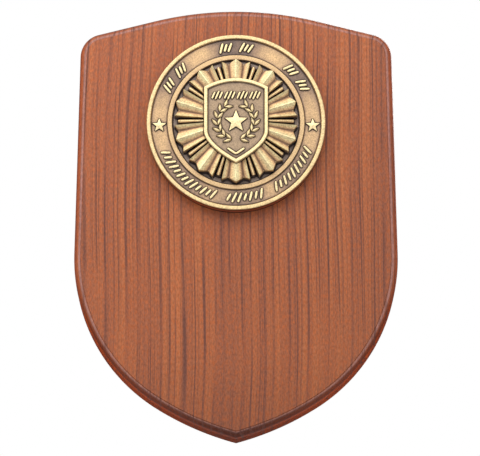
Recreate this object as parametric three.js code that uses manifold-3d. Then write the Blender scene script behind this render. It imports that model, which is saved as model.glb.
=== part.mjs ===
// Medal plaque: a shield-shaped wooden board with a round cast medal on its upper part.
// Millimetres. The front faces -Y and +Z is up. The origin is where the wall screw carries the board,
// at the top of the keyhole slot in the flat back.
import * as THREE from "three";
import { mergeVertices } from "three/addons/utils/BufferGeometryUtils.js";
import Module from "manifold-3d";

const wasm = await Module();
wasm.setup();

// Board outline
const BOARD_WIDTH = 150;
const BOARD_HEIGHT = 202;
const BOARD_THICKNESS = 18;
const CROWN_RADIUS = 158;
const CROWN_SLOPE = degrees(14);
const SHOULDER_RADIUS = 11;
const SIDE_TAPER = degrees(1.4);
const BELLY_RADIUS = 81;
const BELLY_TURN = degrees(57.5);
const POINT_RADIUS = 135;

// Moulded front edge of the board
const QUIRK_DEPTH = 0.7;
const QUIRK_WIDTH = 0.25;
const OVOLO_WIDTH = 3.1;
const OVOLO_DEPTH = 4.6;
const BACK_CHAMFER = 0.6;

// Keyhole slot in the back
const KEYHOLE_BELOW_TOP = 30;
const KEYHOLE_TRAVEL = 13;
const KEYHOLE_DEPTH = 9;
const KEYHOLE_LIP = 4;
const ENTRY_DIAMETER = 10;
const NECK_WIDTH = 5;
const UNDERCUT_WIDTH = 9.6;

// Medal: place, rims and bands, counted from its outer edge inwards
const MEDAL_BELOW_TOP = 55.4;
const MEDAL_DIAMETER = 82.9;
const RIM_WIDTH = 2.3;
const RIM_HEIGHT = 8;
const RIM_ROUNDING = 0.5;
const BAND_WIDTH = 7.15;
const BAND_HEIGHT = 6.9;
const RING_WIDTH = 2.75;
const RING_HEIGHT = 7.8;
const RING_STEP = 0.3;
const RING_SLOPE = 0.4;
const FIELD_HEIGHT = 5.6;
const FIELD_GAP = 0.2;

// Pleated burst: ten fans with one narrow ray between each two
const FAN_COUNT = 10;
const HALF_FAN = Math.PI / FAN_COUNT;
const BURST_HEIGHT = 12;
const PLEAT_DEPTH = 1.6;
const GROOVE_HEIGHT = 6.9;
const RAY_HEIGHT = 10.2;
const RAY_SHOULDER = 0.5;
const BURST_RISE = 0.4;
const END_DRAFT = 0.2;
const WIDEST_STEP = degrees(5.5);

// Small shield in the middle of the medal
const SHIELD_WIDTH = 29.6;
const SHIELD_HEIGHT = 40;
const SHIELD_ABOVE_MIDDLE = 19.5;
const SHIELD_CROWN = 4.1;
const SHIELD_SIDE = 20.7;
const SHIELD_FULLNESS = 0.55;
const SHIELD_TOP = 14.2;
const SHIELD_BORDER = 1.9;
const SHIELD_RECESS = 1;
const SHIELD_ROUNDING = 0.4;

// Relief on the band and on the small shield
const STAR_RADIUS = 3.4;
const STAR_TURN = degrees(92.5);
const STAR_WAIST = 0.42;
const RELIEF = 0.7;
const ROOT = 1;
const STROKE_LENGTH = 5.2;
const STROKE_WIDTH = 1.2;
const STROKE_SLANT = degrees(24);
const STROKE_PITCH = degrees(4.1);
const CLUSTER_PITCH = degrees(3.2);
const CLUSTER_STROKES = 3;
const WREATH_RADIUS = 8.6;
const WREATH_BELOW_MIDDLE = 1;
const WREATH_START = degrees(14);
const WREATH_END = degrees(142);
const LEAF_LENGTH = 4.2;
const LEAF_WIDTH = 1.7;
const LEAF_SPLAY = degrees(32);
const LEAF_PAIRS = 7;
const EMBLEM_STAR_RADIUS = 5.6;
const ROW_BELOW_APEX = 8.1;
const ROW_CLUSTERS = 4;
const ROW_CLUSTER_PITCH = 5.8;
const ROW_STROKE_PITCH = 1.7;
const ROW_STROKE_LENGTH = 4.6;
const ROW_STROKE_WIDTH = 0.95;
const CHEVRON_ABOVE_TIP = 5.6;
const CHEVRON_LENGTH = 5;
const CHEVRON_WIDTH = 1.1;
const CHEVRON_SLOPE = degrees(34);
const CHEVRON_OVERLAP = 0.4;

function degrees(angle) {
  return (angle * Math.PI) / 180;
}

// Outlines are lists of Vector2, counter-clockwise as seen from the front

function arc(centreX, centreY, radius, from, to, steps) {
  const points = [];
  for (let step = 0; step <= steps; step += 1) {
    const angle = from + ((to - from) * step) / steps;
    points.push(new THREE.Vector2(centreX + radius * Math.cos(angle), centreY + radius * Math.sin(angle)));
  }
  return points;
}

// The right half runs from the bottom point to the top, and the left half is its mirror image
function mirrored(rightHalf) {
  const leftHalf = rightHalf
    .slice(1, -1)
    .reverse()
    .map((point) => new THREE.Vector2(-point.x, point.y));
  return [...rightHalf, ...leftHalf];
}

// Each edge moves inwards by the same distance, so that corners stay mitred
function inset(outline, distance) {
  const count = outline.length;
  return outline.map((point, index) => {
    const before = point.clone().sub(outline[(index + count - 1) % count]).normalize();
    const after = outline[(index + 1) % count].clone().sub(point).normalize();
    const inwards = new THREE.Vector2(-before.y - after.y, before.x + after.x);
    return point.clone().addScaledVector(inwards, distance / (1 + before.dot(after)));
  });
}

// A closed solid through rings of equally many points, with z towards the viewer.
// Its two ends close on a middle point each.
function ringSolid(rings, backMiddle, frontMiddle) {
  const count = rings[0].length;
  const points = [...rings.flat(), backMiddle, frontMiddle];
  const positions = points.flatMap((point) => [point.x, point.y, point.z]);
  const back = rings.length * count;
  const front = back + 1;
  const last = (rings.length - 1) * count;
  const faces = [];
  for (let here = 0; here < count; here += 1) {
    const next = (here + 1) % count;
    for (let start = 0; start < last; start += count) {
      faces.push(start + here, start + next, start + count + next);
      faces.push(start + here, start + count + next, start + count + here);
    }
    faces.push(back, next, here);
    faces.push(front, last + here, last + next);
  }
  const geometry = new THREE.BufferGeometry();
  geometry.setAttribute("position", new THREE.Float32BufferAttribute(positions, 3));
  geometry.setIndex(faces);
  return geometry;
}

function lifted(outline, height) {
  return outline.map((point) => new THREE.Vector3(point.x, point.y, height));
}

// A low relief form over an outline, with its foot buried in what carries it
function mound(outline, middle, foot, edge, top) {
  const rings = [lifted(outline, foot - ROOT), lifted(outline, edge)];
  const back = new THREE.Vector3(middle.x, middle.y, foot - ROOT);
  return ringSolid(rings, back, new THREE.Vector3(middle.x, middle.y, top));
}

// Joining and cutting

function toSolid(geometry) {
  const tolerance = 1e-4;
  const bare = geometry.clone();
  bare.deleteAttribute("normal");
  bare.deleteAttribute("uv");
  const merged = mergeVertices(bare, tolerance);
  const vertProperties = merged.attributes.position.array;
  const triVerts = Uint32Array.from(merged.index.array);
  return new wasm.Manifold(new wasm.Mesh({ numProp: 3, vertProperties, triVerts }));
}

function joined(geometries) {
  return geometries.map(toSolid).reduce((whole, piece) => whole.add(piece));
}

function toGeometry(solid) {
  const mesh = solid.getMesh();
  const geometry = new THREE.BufferGeometry();
  geometry.setAttribute("position", new THREE.Float32BufferAttribute(mesh.vertProperties, 3));
  geometry.setIndex(Array.from(mesh.triVerts));
  return geometry;
}

// Pieces are shaped lying on their backs with z outwards, then stood up against the wall
function stoodUp(geometry, name, material, x, z) {
  geometry.rotateX(Math.PI / 2);
  geometry.computeVertexNormals();
  const mesh = new THREE.Mesh(geometry, material);
  mesh.name = name;
  mesh.position.set(x, 0, z);
  return mesh;
}

// Board

// Arcs and straight flanks that run into each other, measured from the widest level
function boardOutline() {
  const half = BOARD_WIDTH / 2;
  const bellyX = half - BELLY_RADIUS;
  const pointX = bellyX - (POINT_RADIUS - BELLY_RADIUS) * Math.cos(BELLY_TURN);
  const pointY = (POINT_RADIUS - BELLY_RADIUS) * Math.sin(BELLY_TURN);
  const tipTurn = Math.acos(-pointX / POINT_RADIUS);
  const tipY = pointY - POINT_RADIUS * Math.sin(tipTurn);
  const crownY = tipY + BOARD_HEIGHT - CROWN_RADIUS;
  const crownEnd = Math.PI / 2 - CROWN_SLOPE;
  const side = new THREE.Vector2(Math.cos(SIDE_TAPER), Math.sin(SIDE_TAPER));
  const flank = new THREE.Vector2(Math.cos(crownEnd), Math.sin(crownEnd));
  const sideReach = side.x * bellyX + BELLY_RADIUS - SHOULDER_RADIUS;
  const flankReach = flank.y * crownY + CROWN_RADIUS - SHOULDER_RADIUS;
  const spread = side.x * flank.y - side.y * flank.x;
  const shoulderX = (sideReach * flank.y - flankReach * side.y) / spread;
  const shoulderY = (flankReach * side.x - sideReach * flank.x) / spread;
  return mirrored([
    ...arc(pointX, pointY, POINT_RADIUS, -tipTurn, -BELLY_TURN, 5),
    ...arc(bellyX, 0, BELLY_RADIUS, -BELLY_TURN, 0, 14).slice(1),
    ...arc(bellyX, 0, BELLY_RADIUS, 0, SIDE_TAPER, 1).slice(1),
    ...arc(shoulderX, shoulderY, SHOULDER_RADIUS, SIDE_TAPER, crownEnd, 8),
    ...arc(0, crownY, CROWN_RADIUS, crownEnd, Math.PI / 2, 4),
  ]);
}

// Distance inwards and distance from the back, from the back edge round to the face
function edgeProfile() {
  const steps = 5;
  const ovoloTop = BOARD_THICKNESS - QUIRK_DEPTH;
  const profile = [
    [BACK_CHAMFER, 0],
    [0, BACK_CHAMFER],
  ];
  for (let step = 0; step <= steps; step += 1) {
    const turn = ((step / steps) * Math.PI) / 2;
    const inwards = OVOLO_WIDTH * (1 - Math.cos(turn));
    const below = OVOLO_DEPTH * (1 - Math.sin(turn));
    profile.push([inwards, ovoloTop - below]);
  }
  profile.push([OVOLO_WIDTH + QUIRK_WIDTH, BOARD_THICKNESS]);
  return profile;
}

function slot(width, back, front) {
  const shape = new THREE.Shape();
  shape.absarc(0, 0, width / 2, 0, Math.PI);
  shape.absarc(0, -KEYHOLE_TRAVEL, width / 2, Math.PI, 2 * Math.PI);
  shape.closePath();
  const depth = front - back;
  const geometry = new THREE.ExtrudeGeometry(shape, { depth, bevelEnabled: false, curveSegments: 8 });
  return geometry.translate(0, 0, back);
}

// A round entry for the screw's head, a narrow slot for its shank and a wide slot behind the lip
function keyhole() {
  const overrun = 1;
  const sides = 24;
  const radius = ENTRY_DIAMETER / 2;
  const entry = new THREE.CylinderGeometry(radius, radius, KEYHOLE_DEPTH + overrun, sides);
  entry.rotateX(Math.PI / 2);
  entry.translate(0, -KEYHOLE_TRAVEL, (KEYHOLE_DEPTH - overrun) / 2);
  const neck = slot(NECK_WIDTH, -overrun, KEYHOLE_LIP + overrun);
  const undercut = slot(UNDERCUT_WIDTH, KEYHOLE_LIP, KEYHOLE_DEPTH);
  return joined([entry, neck, undercut]);
}

function board() {
  const outline = boardOutline();
  const top = Math.max(...outline.map((point) => point.y));
  const placed = outline.map((point) => new THREE.Vector2(point.x, point.y - top + KEYHOLE_BELOW_TOP));
  const rings = edgeProfile().map(([inwards, height]) => lifted(inset(placed, inwards), height));
  const middleY = KEYHOLE_BELOW_TOP - BOARD_HEIGHT / 2;
  const backMiddle = new THREE.Vector3(0, middleY, 0);
  const faceMiddle = new THREE.Vector3(0, middleY, BOARD_THICKNESS);
  const blank = ringSolid(rings, backMiddle, faceMiddle);
  const material = new THREE.MeshStandardMaterial({ color: 0xa8623f, roughness: 0.4, metalness: 0 });
  return stoodUp(toGeometry(toSolid(blank).subtract(keyhole())), "shield_board", material, 0, 0);
}

// Medal: heights are counted from its flat back, which lies on the board's face

// Half of one fan: turn from the fan's middle, reach of the end and height of the end.
// The last two stations are the side and the middle of the narrow ray beside the fan.
const FAN_STATIONS = [
  { turn: 0, reach: 1, height: BURST_HEIGHT },
  { turn: 0.42 * HALF_FAN, reach: 0.925, height: BURST_HEIGHT - PLEAT_DEPTH },
  { turn: 0.76 * HALF_FAN, reach: 0.98, height: BURST_HEIGHT },
  { turn: 0.79 * HALF_FAN, reach: 0.915, height: GROOVE_HEIGHT },
  { turn: 0.855 * HALF_FAN, reach: 0.915, height: GROOVE_HEIGHT },
  { turn: 0.885 * HALF_FAN, reach: 0.915, height: RAY_HEIGHT - RAY_SHOULDER },
  { turn: HALF_FAN, reach: 0.925, height: RAY_HEIGHT },
];

function between(first, second, share) {
  const mix = (name) => first[name] + (second[name] - first[name]) * share;
  return { turn: mix("turn"), reach: mix("reach"), height: mix("height") };
}

// All stations round the medal, with wide steps halved to keep the circles round
function burstStations() {
  const halfFan = FAN_STATIONS.flatMap((station, index) => {
    const next = FAN_STATIONS[index + 1];
    const wide = next && next.turn - station.turn > WIDEST_STEP;
    return wide ? [station, between(station, next, 0.5)] : [station];
  });
  const otherHalf = halfFan
    .slice(1, -1)
    .reverse()
    .map((station) => ({ ...station, turn: -station.turn }));
  const fan = [...otherHalf, ...halfFan];
  const all = [];
  for (let index = 0; index < FAN_COUNT; index += 1) {
    const middle = Math.PI / 2 + index * 2 * HALF_FAN;
    all.push(...fan.map((station) => ({ ...station, turn: middle + station.turn })));
  }
  return all;
}

function medalDisc() {
  const edge = MEDAL_DIAMETER / 2;
  const bandOuter = edge - RIM_WIDTH;
  const bandInner = bandOuter - BAND_WIDTH;
  const field = bandInner - RING_WIDTH;
  const burstReach = field - FIELD_GAP;
  const hub = SHIELD_WIDTH / 2 - SHIELD_BORDER;
  const stations = burstStations();
  const circle = (radius, height) => stations.map(({ turn }) => polar(radius, turn, height));
  const pleats = (station) => {
    const drop = ((BURST_HEIGHT - station.height) * hub) / burstReach;
    return polar(hub, station.turn, BURST_HEIGHT + BURST_RISE - drop);
  };
  const rings = [
    circle(edge, 0),
    circle(edge, RIM_HEIGHT - RIM_ROUNDING),
    circle(edge - RIM_ROUNDING, RIM_HEIGHT),
    circle(bandOuter + RIM_ROUNDING, RIM_HEIGHT),
    circle(bandOuter, BAND_HEIGHT),
    circle(bandInner, BAND_HEIGHT),
    circle(bandInner - RING_STEP, RING_HEIGHT),
    circle(field + RING_SLOPE, RING_HEIGHT),
    circle(field, FIELD_HEIGHT),
    stations.map(({ turn, reach }) => polar(burstReach * reach + END_DRAFT, turn, FIELD_HEIGHT)),
    stations.map(({ turn, reach, height }) => polar(burstReach * reach, turn, height)),
    stations.map(pleats),
  ];
  return ringSolid(rings, new THREE.Vector3(0, 0, 0), new THREE.Vector3(0, 0, BURST_HEIGHT));
}

function polar(radius, turn, height) {
  return new THREE.Vector3(radius * Math.cos(turn), radius * Math.sin(turn), height);
}

// The small shield: arched top, straight sides and a curved point
function smallShield() {
  const side = SHIELD_WIDTH / 2;
  const apex = SHIELD_ABOVE_MIDDLE;
  const tip = apex - SHIELD_HEIGHT;
  const corner = apex - SHIELD_CROWN;
  const sideEnd = corner - SHIELD_SIDE;
  const cheek = new THREE.QuadraticBezierCurve(
    new THREE.Vector2(0, tip),
    new THREE.Vector2(side, tip + SHIELD_FULLNESS * (sideEnd - tip)),
    new THREE.Vector2(side, sideEnd),
  );
  const crown = new THREE.QuadraticBezierCurve(
    new THREE.Vector2(side, corner),
    new THREE.Vector2(side / 2, apex),
    new THREE.Vector2(0, apex),
  );
  const outline = mirrored([...cheek.getPoints(10), ...crown.getPoints(7)]);
  const rings = [
    lifted(outline, GROOVE_HEIGHT - ROOT),
    lifted(outline, SHIELD_TOP - SHIELD_ROUNDING),
    lifted(inset(outline, SHIELD_ROUNDING), SHIELD_TOP),
    lifted(inset(outline, SHIELD_BORDER - SHIELD_ROUNDING), SHIELD_TOP),
    lifted(inset(outline, SHIELD_BORDER), SHIELD_TOP - SHIELD_RECESS),
  ];
  const back = new THREE.Vector3(0, 0, GROOVE_HEIGHT - ROOT);
  return ringSolid(rings, back, new THREE.Vector3(0, 0, SHIELD_TOP - SHIELD_RECESS));
}

function star(x, y, radius, foot) {
  const outline = [];
  for (let index = 0; index < 10; index += 1) {
    const reach = index % 2 === 0 ? radius : radius * STAR_WAIST;
    const turn = Math.PI / 2 + (index * Math.PI) / 5;
    outline.push(new THREE.Vector2(x + reach * Math.cos(turn), y + reach * Math.sin(turn)));
  }
  return mound(outline, new THREE.Vector2(x, y), foot, foot + RELIEF, foot + 1.3 * RELIEF);
}

// A function that gives the point so far along a direction from a place, and so far to its left
function placer(x, y, direction) {
  const along = new THREE.Vector2(Math.cos(direction), Math.sin(direction));
  const across = new THREE.Vector2(-along.y, along.x);
  const place = new THREE.Vector2(x, y);
  return (ahead, aside) => place.clone().addScaledVector(along, ahead).addScaledVector(across, aside);
}

// A slanted bar with pointed ends; its length runs along the direction given
function stroke(x, y, direction, length, width, foot) {
  const at = placer(x, y, direction);
  const end = length / 2;
  const corner = 0.7 * end;
  const side = width / 2;
  const left = [at(end, 0), at(corner, side), at(-corner, side)];
  const right = [at(-end, 0), at(-corner, -side), at(corner, -side)];
  return mound([...left, ...right], at(0, 0), foot, foot + 0.7 * RELIEF, foot + RELIEF);
}

// Strokes round the band where an inscription would be. Turns are clockwise from the top.
function bandStrokes() {
  const radius = MEDAL_DIAMETER / 2 - RIM_WIDTH - BAND_WIDTH / 2;
  const clusterTurns = [-60.5, -46, -7.75, 7.75, 46, 60.5];
  const places = [
    ...clusterTurns.map((turn) => ({ middle: degrees(turn), count: CLUSTER_STROKES, pitch: CLUSTER_PITCH })),
    { middle: degrees(130), count: 10, pitch: STROKE_PITCH },
    { middle: degrees(173), count: 7, pitch: STROKE_PITCH },
    { middle: degrees(221.5), count: 13, pitch: STROKE_PITCH },
  ];
  const lengths = [1, 0.74, 0.9, 0.7, 0.96];
  const strokes = [];
  for (const { middle, count, pitch } of places) {
    for (let index = 0; index < count; index += 1) {
      const turn = Math.PI / 2 - middle - (index - (count - 1) / 2) * pitch;
      const length = STROKE_LENGTH * lengths[index % lengths.length];
      const place = polar(radius, turn, 0);
      strokes.push(stroke(place.x, place.y, turn - STROKE_SLANT, length, STROKE_WIDTH, BAND_HEIGHT));
    }
  }
  return strokes;
}

// One leaf of the wreath, widest before its middle
function leaf(x, y, direction, foot) {
  const at = placer(x, y, direction);
  const belly = 0.3 * LEAF_LENGTH;
  const shoulder = 0.65 * LEAF_LENGTH;
  const wide = 0.5 * LEAF_WIDTH;
  const narrow = 0.4 * LEAF_WIDTH;
  const left = [at(LEAF_LENGTH, 0), at(shoulder, narrow), at(belly, wide)];
  const right = [at(0, 0), at(belly, -wide), at(shoulder, -narrow)];
  const middle = at((belly + shoulder) / 2, 0);
  return mound([...left, ...right], middle, foot, foot + 0.5 * RELIEF, foot + 1.3 * RELIEF);
}

// A wreath round a star, with strokes above and a chevron below
function emblem() {
  const foot = SHIELD_TOP - SHIELD_RECESS;
  const middleY = -WREATH_BELOW_MIDDLE;
  const pieces = [star(0, middleY, EMBLEM_STAR_RADIUS, foot)];
  for (let pair = 0; pair < LEAF_PAIRS; pair += 1) {
    const turn = WREATH_START + ((WREATH_END - WREATH_START) * pair) / (LEAF_PAIRS - 1);
    for (const side of [-1, 1]) {
      const angle = -Math.PI / 2 + side * turn;
      const x = WREATH_RADIUS * Math.cos(angle);
      const y = middleY + WREATH_RADIUS * Math.sin(angle);
      const tangent = angle + (side * Math.PI) / 2;
      pieces.push(leaf(x, y, tangent - LEAF_SPLAY, foot));
      pieces.push(leaf(x, y, tangent + LEAF_SPLAY, foot));
    }
  }
  return [...pieces, ...strokeRow(foot), ...chevron(foot)];
}

// Clusters of short strokes in a row under the small shield's top border
function strokeRow(foot) {
  const y = SHIELD_ABOVE_MIDDLE - ROW_BELOW_APEX;
  const strokes = [];
  for (let cluster = 0; cluster < ROW_CLUSTERS; cluster += 1) {
    const middle = (cluster - (ROW_CLUSTERS - 1) / 2) * ROW_CLUSTER_PITCH;
    for (let index = 0; index < CLUSTER_STROKES; index += 1) {
      const x = middle + (index - (CLUSTER_STROKES - 1) / 2) * ROW_STROKE_PITCH;
      const length = ROW_STROKE_LENGTH * (index === 1 ? 1 : 0.8);
      strokes.push(stroke(x, y, Math.PI / 2 - STROKE_SLANT, length, ROW_STROKE_WIDTH, foot));
    }
  }
  return strokes;
}

// Two bars that meet above the small shield's point
function chevron(foot) {
  const reach = (CHEVRON_LENGTH - CHEVRON_OVERLAP) / 2;
  const y = SHIELD_ABOVE_MIDDLE - SHIELD_HEIGHT + CHEVRON_ABOVE_TIP;
  return [-1, 1].map((side) => {
    const x = side * reach * Math.cos(CHEVRON_SLOPE);
    return stroke(x, y, side * CHEVRON_SLOPE, CHEVRON_LENGTH, CHEVRON_WIDTH, foot);
  });
}

function medal() {
  const starTurns = [Math.PI / 2 - STAR_TURN, Math.PI / 2 + STAR_TURN];
  const starReach = MEDAL_DIAMETER / 2 - RIM_WIDTH - BAND_WIDTH / 2;
  const stars = starTurns.map((turn) => {
    const place = polar(starReach, turn, 0);
    return star(place.x, place.y, STAR_RADIUS, BAND_HEIGHT);
  });
  const whole = joined([medalDisc(), smallShield(), ...stars, ...bandStrokes(), ...emblem()]);
  const geometry = toGeometry(whole).translate(0, 0, BOARD_THICKNESS);
  const material = new THREE.MeshStandardMaterial({ color: 0xbf9a63, roughness: 0.38, metalness: 1 });
  return stoodUp(geometry, "medal", material, 0, KEYHOLE_BELOW_TOP - MEDAL_BELOW_TOP);
}

const plaque = new THREE.Group();
plaque.name = "medal_plaque";
plaque.add(board(), medal());
export default plaque;
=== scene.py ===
"""Looks of the medal plaque: a lacquered shield-shaped board with a round cast medal in antique brass.

Metres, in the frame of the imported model: the front faces -Y and +Z is up. Pieces are shaped as if they
lay on their backs, with x to the right, y up the plaque and z towards the viewer, and then stood up.
"""

import math

import bpy
import numpy as np
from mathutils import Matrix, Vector


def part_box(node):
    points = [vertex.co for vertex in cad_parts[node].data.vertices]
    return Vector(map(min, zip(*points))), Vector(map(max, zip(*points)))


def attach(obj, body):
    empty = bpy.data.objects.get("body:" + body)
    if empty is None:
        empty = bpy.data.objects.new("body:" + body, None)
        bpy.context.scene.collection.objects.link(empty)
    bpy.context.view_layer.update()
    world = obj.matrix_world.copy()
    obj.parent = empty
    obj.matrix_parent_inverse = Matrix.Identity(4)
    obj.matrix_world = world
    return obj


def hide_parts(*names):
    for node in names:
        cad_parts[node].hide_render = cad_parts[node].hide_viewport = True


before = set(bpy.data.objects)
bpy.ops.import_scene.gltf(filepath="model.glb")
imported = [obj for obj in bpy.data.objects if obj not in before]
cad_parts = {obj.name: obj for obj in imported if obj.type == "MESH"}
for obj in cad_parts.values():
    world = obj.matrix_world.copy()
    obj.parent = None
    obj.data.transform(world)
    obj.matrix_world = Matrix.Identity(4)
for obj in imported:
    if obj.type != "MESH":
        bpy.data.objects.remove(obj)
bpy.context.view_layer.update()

MM = 0.001
TURN = 2 * math.pi

# Places and outer sizes come from the frame
board_low, board_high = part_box("shield_board")
medal_low, medal_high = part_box("medal")
BOARD_WIDTH = board_high.x - board_low.x
BOARD_HEIGHT = board_high.z - board_low.z
BOARD_THICKNESS = board_high.y - board_low.y
MEDAL_RADIUS = (medal_high.x - medal_low.x) / 2
MEDAL_Z = (medal_high.z + medal_low.z) / 2
MEDAL_TOP = medal_high.y - medal_low.y

# Board outline
CROWN_RADIUS = 158 * MM
CROWN_SLOPE = math.radians(14)
SHOULDER_RADIUS = 11 * MM
SIDE_TAPER = math.radians(1.4)
BELLY_RADIUS = 81 * MM
BELLY_TURN = math.radians(57.5)
POINT_RADIUS = 135 * MM

# Moulded front edge and chamfered back edge
QUIRK_DEPTH = 0.7 * MM
QUIRK_WIDTH = 0.25 * MM
OVOLO_WIDTH = 3.1 * MM
OVOLO_DEPTH = 4.6 * MM
ARRIS = 0.12 * MM
BACK_CHAMFER = 0.6 * MM
BOARD_CREASE = math.radians(32)

# Keyhole slot in the back, around the origin
KEYHOLE_TRAVEL = 13 * MM
KEYHOLE_DEPTH = 9 * MM
KEYHOLE_LIP = 4 * MM
ENTRY_DIAMETER = 10 * MM
NECK_WIDTH = 5 * MM
UNDERCUT_WIDTH = 9.6 * MM
CUT_OVERRUN = 1 * MM
PLANE_GAP = 0.01 * MM

# Medal, with heights from its flat back
RIM_WIDTH = 2.3 * MM
RIM_HEIGHT = 8 * MM
RIM_ROUNDING = 0.5 * MM
BAND_WIDTH = 7.15 * MM
BAND_HEIGHT = 6.9 * MM
BAND_FILLET = 0.15 * MM
RING_WIDTH = 2.75 * MM
RING_HEIGHT = 7.8 * MM
RING_STEP = 0.3 * MM
RING_SLOPE = 0.4 * MM
RING_OUTER_ROUNDING = 0.25 * MM
RING_INNER_ROUNDING = 0.3 * MM
FIELD_HEIGHT = 5.6 * MM
FIELD_GAP = 0.2 * MM
MEDAL_CREASE = math.radians(34)

# Pleated burst. A station is a share of half a fan, counted from the fan's middle.
FAN_COUNT = 10
FOLD_SOFTENING = 0.022
BURST_HEIGHT = 12 * MM
PLEAT_DEPTH = 1.6 * MM
PLEAT_HOLLOW = 0.6
GROOVE_HEIGHT = 6.9 * MM
RAY_HEIGHT = 10.2 * MM
RAY_SHOULDER = 0.5 * MM
BURST_RISE = 0.4 * MM
END_DRAFT = 0.2 * MM
SLOPE_HEIGHT = BURST_HEIGHT - PLEAT_HOLLOW * PLEAT_DEPTH
FAN_STATIONS = [0, 0.21, 0.42, 0.59, 0.76, 0.79, 0.855, 0.885, 1]
FAN_REACHES = [1, 0.9625, 0.925, 0.9525, 0.98, 0.915, 0.915, 0.915, 0.925]
FAN_HEIGHTS = [
    BURST_HEIGHT,
    SLOPE_HEIGHT,
    BURST_HEIGHT - PLEAT_DEPTH,
    SLOPE_HEIGHT,
    BURST_HEIGHT,
    GROOVE_HEIGHT,
    GROOVE_HEIGHT,
    RAY_HEIGHT - RAY_SHOULDER,
    RAY_HEIGHT,
]
# Rounded upper edge of the burst's ends: how far outwards, and the share of the height
END_ROUNDING = [(0.1 * MM, 0.85), (0.02 * MM, 0.95), (-0.12 * MM, 0.99), (-0.35 * MM, 1.0)]

# Small shield in the middle of the medal
SHIELD_WIDTH = 29.6 * MM
SHIELD_HEIGHT = 40 * MM
SHIELD_ABOVE_MIDDLE = 19.5 * MM
SHIELD_CROWN = 4.1 * MM
SHIELD_SIDE = 20.7 * MM
SHIELD_FULLNESS = 0.55
SHIELD_TOP = MEDAL_TOP
SHIELD_BORDER = 1.9 * MM
SHIELD_RECESS = 1 * MM
SHIELD_FLOOR = SHIELD_TOP - SHIELD_RECESS
SHIELD_ROUNDING = 0.4 * MM
SHIELD_FILLET = 0.12 * MM
SHIELD_FLOOR_MARGIN = 0.3 * MM

# Relief on the band and on the small shield
RELIEF = 0.7 * MM
ROOT = 1 * MM
STAR_POINTS = 5
STAR_RADIUS = 3.4 * MM
STAR_TURN = math.radians(92.5)
STAR_WAIST = 0.42
STROKE_LENGTH = 5.2 * MM
STROKE_SHARES = [1, 0.74, 0.9, 0.7, 0.96]
STROKE_WIDTH = 1.2 * MM
STROKE_FULLNESS = 0.55
STROKE_SLANT = math.radians(24)
STROKE_PITCH = math.radians(4.1)
CLUSTER_PITCH = math.radians(3.2)
CLUSTER_STROKES = 3
# Rows of strokes on the band: degrees clockwise from its top
CLUSTER_TURNS = [-60.5, -46, -7.75, 7.75, 46, 60.5]
# The same, with the number of strokes
LONG_ROWS = [(130, 10), (173, 7), (221.5, 13)]
WREATH_RADIUS = 8.6 * MM
WREATH_BELOW_MIDDLE = 1 * MM
WREATH_START = math.radians(14)
WREATH_END = math.radians(142)
LEAF_LENGTH = 4.2 * MM
LEAF_WIDTH = 1.7 * MM
LEAF_SPLAY = math.radians(32)
LEAF_PAIRS = 7
EMBLEM_STAR_RADIUS = 5.6 * MM
ROW_BELOW_APEX = 8.1 * MM
ROW_CLUSTERS = 4
ROW_CLUSTER_PITCH = 5.8 * MM
ROW_STROKE_PITCH = 1.7 * MM
ROW_STROKE_LENGTH = 4.6 * MM
ROW_OUTER_SHARE = 0.8
ROW_STROKE_WIDTH = 0.95 * MM
CHEVRON_ABOVE_TIP = 5.6 * MM
CHEVRON_LENGTH = 5 * MM
CHEVRON_WIDTH = 1.1 * MM
CHEVRON_SLOPE = math.radians(34)
CHEVRON_OVERLAP = 0.4 * MM

# Wood grain: the lines' average period and strength, their sway in radians, and the whole grain's drift
GRAIN_LINES = [(5.1 * MM, 0.85), (3.3 * MM, 0.55), (2.1 * MM, 0.4)]
GRAIN_SWAY = 13.0
GRAIN_DRIFT = 9 * MM

# Height of the fine bumps in both materials
BUMP_HEIGHT = 0.1 * MM

# Patina on the band by degrees clockwise from its top: strong by the strokes, weak between them
BAND_PATINA = [
    (-180, 0.5), (-170, 0.45), (-159, 0.1), (-148, 0.45), (-128, 0.5), (-110, 0.2), (-88, 0.05), (-73, 0.3),
    (-53, 0.9), (-37, 0.15), (-26, 0.05), (-12, 0.8), (0, 1), (12, 0.8), (26, 0.05), (37, 0.15), (53, 0.95),
    (73, 0.3), (88, 0.05), (108, 0.15), (118, 0.45), (140, 0.5), (152, 0.1), (162, 0.45), (180, 0.5),
]

# Camera: the photograph's view, from a little below
IMAGE_WIDTH = 480
IMAGE_HEIGHT = 456
SENSOR_WIDTH = 36.0
CAMERA_DISTANCE = 2.0
CAMERA_PITCH = math.radians(10.7)
PIXELS_PER_METRE = 2160.0
BOARD_MIDDLE_PIXEL = (236.0, 221.8)


# Outlines are lists of (x, y), counter-clockwise as seen from the front


def arc(centre_x, centre_y, radius, start, end, steps):
    angles = np.linspace(start, end, steps + 1)
    return [(centre_x + radius * math.cos(angle), centre_y + radius * math.sin(angle)) for angle in angles]


def mirrored(right_half):
    """The right half runs from the bottom point to the top, and the left half mirrors it."""
    return right_half + [(-x, y) for x, y in reversed(right_half[1:-1])]


def inset(outline, distance):
    """Each edge moves inwards by the same distance, so that corners stay mitred."""
    points = np.array(outline)
    before = points - np.roll(points, 1, axis=0)
    after = np.roll(points, -1, axis=0) - points
    before /= np.linalg.norm(before, axis=1)[:, None]
    after /= np.linalg.norm(after, axis=1)[:, None]
    inwards = np.column_stack([-before[:, 1] - after[:, 1], before[:, 0] + after[:, 0]])
    moved = points + inwards * (distance / (1 + (before * after).sum(axis=1)))[:, None]
    return [tuple(point) for point in moved]


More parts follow.
